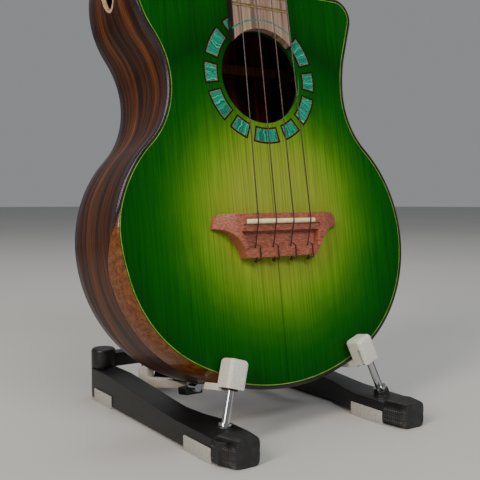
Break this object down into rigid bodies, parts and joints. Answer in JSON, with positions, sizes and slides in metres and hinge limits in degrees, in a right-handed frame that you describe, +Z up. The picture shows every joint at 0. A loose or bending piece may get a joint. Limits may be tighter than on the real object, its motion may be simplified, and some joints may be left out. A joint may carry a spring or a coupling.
{
  "type": "ukulele on a floor stand",
  "caption": "Cutaway ukulele with a burst top, tied strings and geared tuners, standing on a low folding stand with padded swivelling hooks and a back rest.",
  "frame": {"origin": "on the floor, at the middle of the box around the whole object: the ukulele's centre line and halfway between the ends of the stand's legs", "axes": "+Z up, the top of the ukulele faces -Y and leans back 9 degrees, +X to its treble side"},
  "size_m": [0.2312, 0.195, 0.6875],
  "materials": {
    "spruce_green": "gloss lacquer burst",
    "rosette_stone": "polished crushed stone in resin",
    "rosewood": "gloss lacquer",
    "armrest_wood": "gloss lacquer",
    "binding_wood": "gloss lacquer",
    "purfling": "gloss lacquer",
    "pale_binding": "gloss lacquer",
    "inner_spruce": "bare sanded",
    "inner_mahogany": "bare sanded",
    "bridge_wood": "satin oiled",
    "bone": "polished",
    "nylon": "smooth",
    "fretboard_wood": "satin oiled",
    "inlay_stone": "polished",
    "fret_metal": "polished",
    "neck_wood": "satin lacquer",
    "head_veneer": "gloss lacquer",
    "tuner_metal": "polished",
    "tuner_button": "pearl",
    "stand_plastic": "fine texture",
    "grip_rubber": "knurled",
    "pad_rubber": "matt",
    "hook_rubber": "matt",
    "rod_metal": "polished",
    "steel": "plain"
  },
  "bodies": {
    "stand": {"rear_crossbar": "stand_plastic", "hinge_pins": "steel", "hinge_caps": "stand_plastic", "rear_loops": "hook_rubber", "loop_brackets": "stand_plastic", "nose_blocks": "stand_plastic", "chrome_noses": "rod_metal"},
    "ukulele": {"soundboard": "spruce_green", "rosette_tiles": "rosette_stone", "back_plate": "rosewood", "side_bass": "rosewood", "side_treble": "rosewood", "armrest_bevel": "armrest_wood", "top_binding": "binding_wood", "top_purfling": "purfling", "back_binding": "binding_wood", "sound_port_ring": "pale_binding", "linings": "inner_mahogany", "neck_block": "inner_mahogany", "tail_block": "inner_mahogany", "soundboard_braces": "inner_spruce", "back_braces": "inner_spruce", "bridge_plate": "inner_spruce", "bridge": "bridge_wood", "saddle": "bone", "strings": "nylon", "fretboard": "fretboard_wood", "fretboard_inlay": "inlay_stone", "frets": "fret_metal", "nut": "bone", "neck": "neck_wood", "heel_cap": "head_veneer", "headstock_veneer": "head_veneer", "tuner_cases": "tuner_metal", "tuner_bushes": "tuner_metal", "tuner_screws": "tuner_metal"},
    "back_rest": {"back_rest_arm": "stand_plastic", "back_rest_pads": "hook_rubber"},
    "left_leg": {"left_leg": "stand_plastic", "left_leg_grip": "grip_rubber", "left_foot_pads": "pad_rubber"},
    "left_hook": {"left_hook_rod": "rod_metal", "left_rod_collar": "rod_metal", "left_hook_core": "stand_plastic", "left_hook_cover": "hook_rubber"},
    "right_leg": {"right_leg": "stand_plastic", "right_leg_grip": "grip_rubber", "right_foot_pads": "pad_rubber"},
    "right_hook": {"right_hook_rod": "rod_metal", "right_rod_collar": "rod_metal", "right_hook_core": "stand_plastic", "right_hook_cover": "hook_rubber"},
    "button_1": {"tuner_button_1": "tuner_button"},
    "post_1": {"string_post_1": "tuner_metal"},
    "button_2": {"tuner_button_2": "tuner_button"},
    "post_2": {"string_post_2": "tuner_metal"},
    "button_3": {"tuner_button_3": "tuner_button"},
    "post_3": {"string_post_3": "tuner_metal"},
    "button_4": {"tuner_button_4": "tuner_button"},
    "post_4": {"string_post_4": "tuner_metal"}
  },
  "joints": [
    {"name": "ukulele_lift_off", "type": "slide", "parent": "stand", "child": "ukulele", "axis": [0, 0.1564, 0.9877], "range_m": [0, 0.08]},
    {"name": "back_rest_fold", "type": "hinge", "parent": "stand", "child": "back_rest", "pos_m": [0.0025, 0.0885, 0.04], "axis": [-1, 0, 0], "range_deg": [0, 105]},
    {"name": "left_leg_swing", "type": "hinge", "parent": "stand", "child": "left_leg", "pos_m": [-0.068, 0.0885, 0.012], "axis": [0, 0, -1], "range_deg": [0, 90]},
    {"name": "left_hook_swivel", "type": "hinge", "parent": "left_leg", "child": "left_hook", "pos_m": [-0.051, -0.0617, 0.03802], "axis": [0.2924, 0.1496, 0.9445], "range_deg": [-90, 90]},
    {"name": "right_leg_swing", "type": "hinge", "parent": "stand", "child": "right_leg", "pos_m": [0.073, 0.0885, 0.012], "axis": [0, 0, 1], "range_deg": [0, 90]},
    {"name": "right_hook_swivel", "type": "hinge", "parent": "right_leg", "child": "right_hook", "pos_m": [0.06087, -0.06107, 0.04197], "axis": [-0.3502, 0.1465, 0.9251], "range_deg": [-90, 90]},
    {"name": "button_1_turn", "type": "hinge", "parent": "ukulele", "child": "button_1", "pos_m": [-0.019, 0.06044, 0.58959], "axis": [-1, 0, 0], "continuous": true},
    {"name": "post_1_turn", "type": "hinge", "parent": "ukulele", "child": "post_1", "pos_m": [-0.019, 0.04489, 0.60348], "axis": [0, -0.9336, 0.3584], "continuous": true},
    {"name": "button_2_turn", "type": "hinge", "parent": "ukulele", "child": "button_2", "pos_m": [-0.019, 0.07765, 0.6344], "axis": [-1, 0, 0], "continuous": true},
    {"name": "post_2_turn", "type": "hinge", "parent": "ukulele", "child": "post_2", "pos_m": [-0.019, 0.06209, 0.64829], "axis": [0, -0.9336, 0.3584], "continuous": true},
    {"name": "button_3_turn", "type": "hinge", "parent": "ukulele", "child": "button_3", "pos_m": [0.019, 0.08295, 0.64821], "axis": [1, 0, 0], "continuous": true},
    {"name": "post_3_turn", "type": "hinge", "parent": "ukulele", "child": "post_3", "pos_m": [0.019, 0.06209, 0.64829], "axis": [0, -0.9336, 0.3584], "continuous": true},
    {"name": "button_4_turn", "type": "hinge", "parent": "ukulele", "child": "button_4", "pos_m": [0.019, 0.06575, 0.6034], "axis": [1, 0, 0], "continuous": true},
    {"name": "post_4_turn", "type": "hinge", "parent": "ukulele", "child": "post_4", "pos_m": [0.019, 0.04489, 0.60348], "axis": [0, -0.9336, 0.3584], "continuous": true}
  ],
  "couplings": [
    {"joint": "post_1_turn", "follows": "button_1_turn", "ratio": 0.071429},
    {"joint": "post_2_turn", "follows": "button_2_turn", "ratio": 0.071429},
    {"joint": "post_3_turn", "follows": "button_3_turn", "ratio": 0.071429},
    {"joint": "post_4_turn", "follows": "button_4_turn", "ratio": 0.071429}
  ]
}
